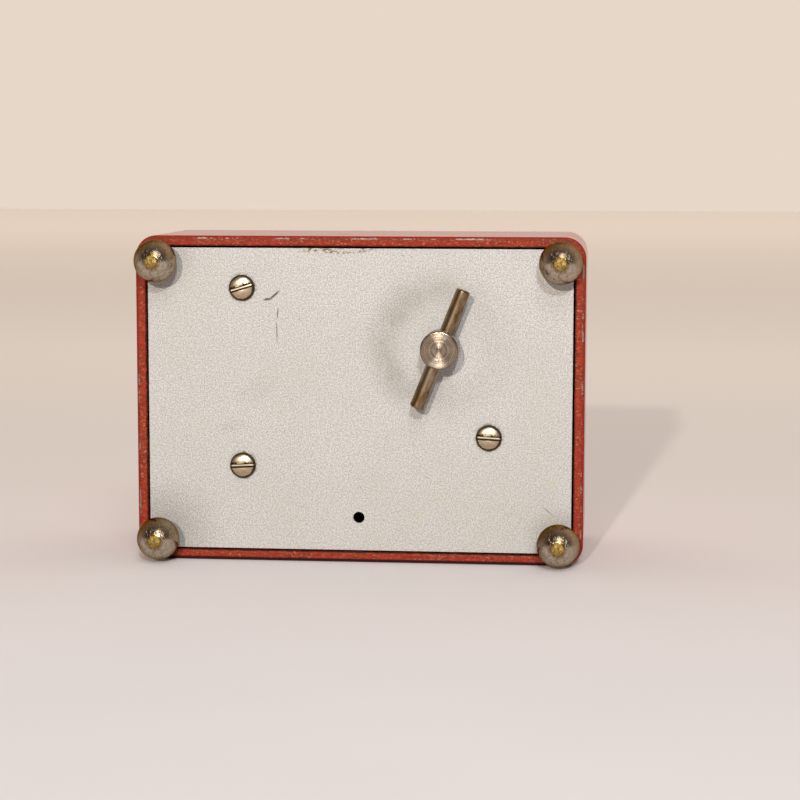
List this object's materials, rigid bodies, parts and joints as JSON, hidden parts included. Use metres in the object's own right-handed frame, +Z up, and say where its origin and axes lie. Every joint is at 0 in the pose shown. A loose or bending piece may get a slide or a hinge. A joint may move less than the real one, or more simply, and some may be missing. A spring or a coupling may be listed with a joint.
{
  "type": "kitchen timer",
  "caption": "Clockwork kitchen timer in a red box, with a silver back plate, ball feet, a T-shaped winding key, and a round dial with a setting knob.",
  "frame": {"origin": "bottom centre of the bounding box, on the surface under the case's long side", "axes": "+Z up, +X along the case's long side, -Y out of the back plate, +Y out of the dial"},
  "size_m": [0.106, 0.0642, 0.0772],
  "materials": {
    "red_paint": "glossy red enamel, worn to metal on the edges",
    "silver_paint": "fine hammered silver-grey paint",
    "tarnished_steel": "turned and polished, brown tarnish",
    "brass": "aged, satin",
    "nickel": "nickel plated, dulled",
    "steel": "satin",
    "blued_steel": "blued spring steel",
    "chrome_trim": "polished",
    "cream_enamel": "satin enamel dial",
    "pointer_red": "satin enamel",
    "black_plastic": "moulded, ribbed",
    "gasket_rubber": "matt",
    "clear_glass": "clear, slightly domed"
  },
  "bodies": {
    "case": {"case_shell": "red_paint", "back_plate": "silver_paint", "click_spring": "blued_steel", "hairspring": "blued_steel", "hammer_spring": "blued_steel", "bell": "nickel", "bell_post": "steel", "movement_rear_plate": "brass", "movement_front_plate": "brass", "dial_plate": "cream_enamel", "dial_glass": "clear_glass", "glass_gasket": "gasket_rubber", "dial_bezel": "chrome_trim", "foot_ball_upper_left": "tarnished_steel", "foot_stud_upper_left": "brass", "foot_ball_upper_right": "tarnished_steel", "foot_stud_upper_right": "brass", "foot_ball_lower_left": "tarnished_steel", "foot_stud_lower_left": "brass", "foot_ball_lower_right": "tarnished_steel", "foot_stud_lower_right": "brass", "movement_screw_upper_left": "nickel", "movement_spacer_upper_left": "brass", "movement_screw_lower_left": "nickel", "movement_spacer_lower_left": "brass", "movement_screw_lower_right": "nickel", "movement_spacer_lower_right": "brass", "movement_pillar_upper_left": "brass", "movement_pillar_lower_left": "brass", "movement_pillar_lower_right": "brass", "movement_pillar_upper_right": "brass"},
    "key": {"key_hub": "tarnished_steel", "key_crossbar": "tarnished_steel", "winding_arbor": "steel", "ratchet_wheel": "steel"},
    "click_body": {"click": "steel"},
    "barrel": {"mainspring_barrel": "brass", "barrel_cover": "brass", "mainspring": "blued_steel", "barrel_pinion": "steel"},
    "second": {"second_arbor": "steel", "second_wheel": "brass"},
    "third": {"third_arbor": "steel", "third_wheel": "brass"},
    "escape": {"escape_arbor": "steel", "escape_wheel": "brass"},
    "pallet": {"pallet_lever": "steel"},
    "balance": {"balance_wheel": "brass", "balance_staff": "steel"},
    "regulator_body": {"regulator": "steel"},
    "strike": {"strike_wheel": "steel"},
    "hammer_body": {"hammer": "steel"},
    "dial_drive": {"dial_wheel": "brass"},
    "dial_hand": {"dial_arbor": "steel", "clutch_spring": "blued_steel", "alarm_cam": "brass", "pointer": "pointer_red", "setting_knob": "black_plastic"},
    "release": {"release_lever": "steel"}
  },
  "joints": [
    {"name": "key_wind", "type": "hinge", "parent": "case", "child": "key", "pos_m": [0.01956, -0.02142, 0.05145], "axis": [0, 1, 0], "range_deg": [0, 1890]},
    {"name": "click_lift", "type": "hinge", "parent": "case", "child": "click_body", "pos_m": [0.02047, -0.01742, 0.0607], "axis": [0, 1, 0], "range_deg": [-6, 0], "stiffness_Nm_per_rad": 0.0001},
    {"name": "barrel_run", "type": "hinge", "parent": "case", "child": "barrel", "pos_m": [0.01956, -0.00743, 0.05145], "axis": [0, 1, 0], "continuous": true},
    {"name": "second_run", "type": "hinge", "parent": "case", "child": "second", "pos_m": [0.01643, -0.00643, 0.03372], "axis": [0, 1, 0], "continuous": true},
    {"name": "third_run", "type": "hinge", "parent": "case", "child": "third", "pos_m": [0.00516, -0.00643, 0.02962], "axis": [0, 1, 0], "continuous": true},
    {"name": "escape_run", "type": "hinge", "parent": "case", "child": "escape", "pos_m": [-0.00415, -0.00643, 0.03126], "axis": [0, 1, 0], "continuous": true},
    {"name": "pallet_rock", "type": "hinge", "parent": "case", "child": "pallet", "pos_m": [-0.01168, -0.00643, 0.03328], "axis": [0, 1, 0], "range_deg": [-5, 5]},
    {"name": "balance_swing", "type": "hinge", "parent": "case", "child": "balance", "pos_m": [-0.02086, -0.00643, 0.03573], "axis": [0, 1, 0], "range_deg": [-140, 140], "stiffness_Nm_per_rad": 0.00003},
    {"name": "regulator_turn", "type": "hinge", "parent": "case", "child": "regulator_body", "pos_m": [-0.02086, -0.01613, 0.03573], "axis": [0, 1, 0], "range_deg": [-20, 20]},
    {"name": "strike_run", "type": "hinge", "parent": "case", "child": "strike", "pos_m": [0.00223, -0.00643, 0.05388], "axis": [0, 1, 0], "continuous": true},
    {"name": "hammer_swing", "type": "hinge", "parent": "case", "child": "hammer_body", "pos_m": [-0.0032, -0.00643, 0.0618], "axis": [0, 1, 0], "range_deg": [0, 4], "stiffness_Nm_per_rad": 0.0002},
    {"name": "dial_wheel_run", "type": "hinge", "parent": "case", "child": "dial_drive", "pos_m": [0, 0.00558, 0.0386], "axis": [0, 1, 0], "continuous": true},
    {"name": "knob_set", "type": "hinge", "parent": "case", "child": "dial_hand", "pos_m": [0, 0.02658, 0.0386], "axis": [0, -1, 0], "range_deg": [0, 330]},
    {"name": "release_drop", "type": "hinge", "parent": "case", "child": "release", "pos_m": [-0.01484, 0.00887, 0.05555], "axis": [0, 1, 0], "range_deg": [-3, 0], "stiffness_Nm_per_rad": 0.0002}
  ],
  "couplings": [
    {"joint": "second_run", "follows": "barrel_run", "ratio": -5},
    {"joint": "third_run", "follows": "barrel_run", "ratio": 20},
    {"joint": "escape_run", "follows": "barrel_run", "ratio": -100},
    {"joint": "strike_run", "follows": "barrel_run", "ratio": -6},
    {"joint": "dial_wheel_run", "follows": "barrel_run", "ratio": -0.2}
  ]
}
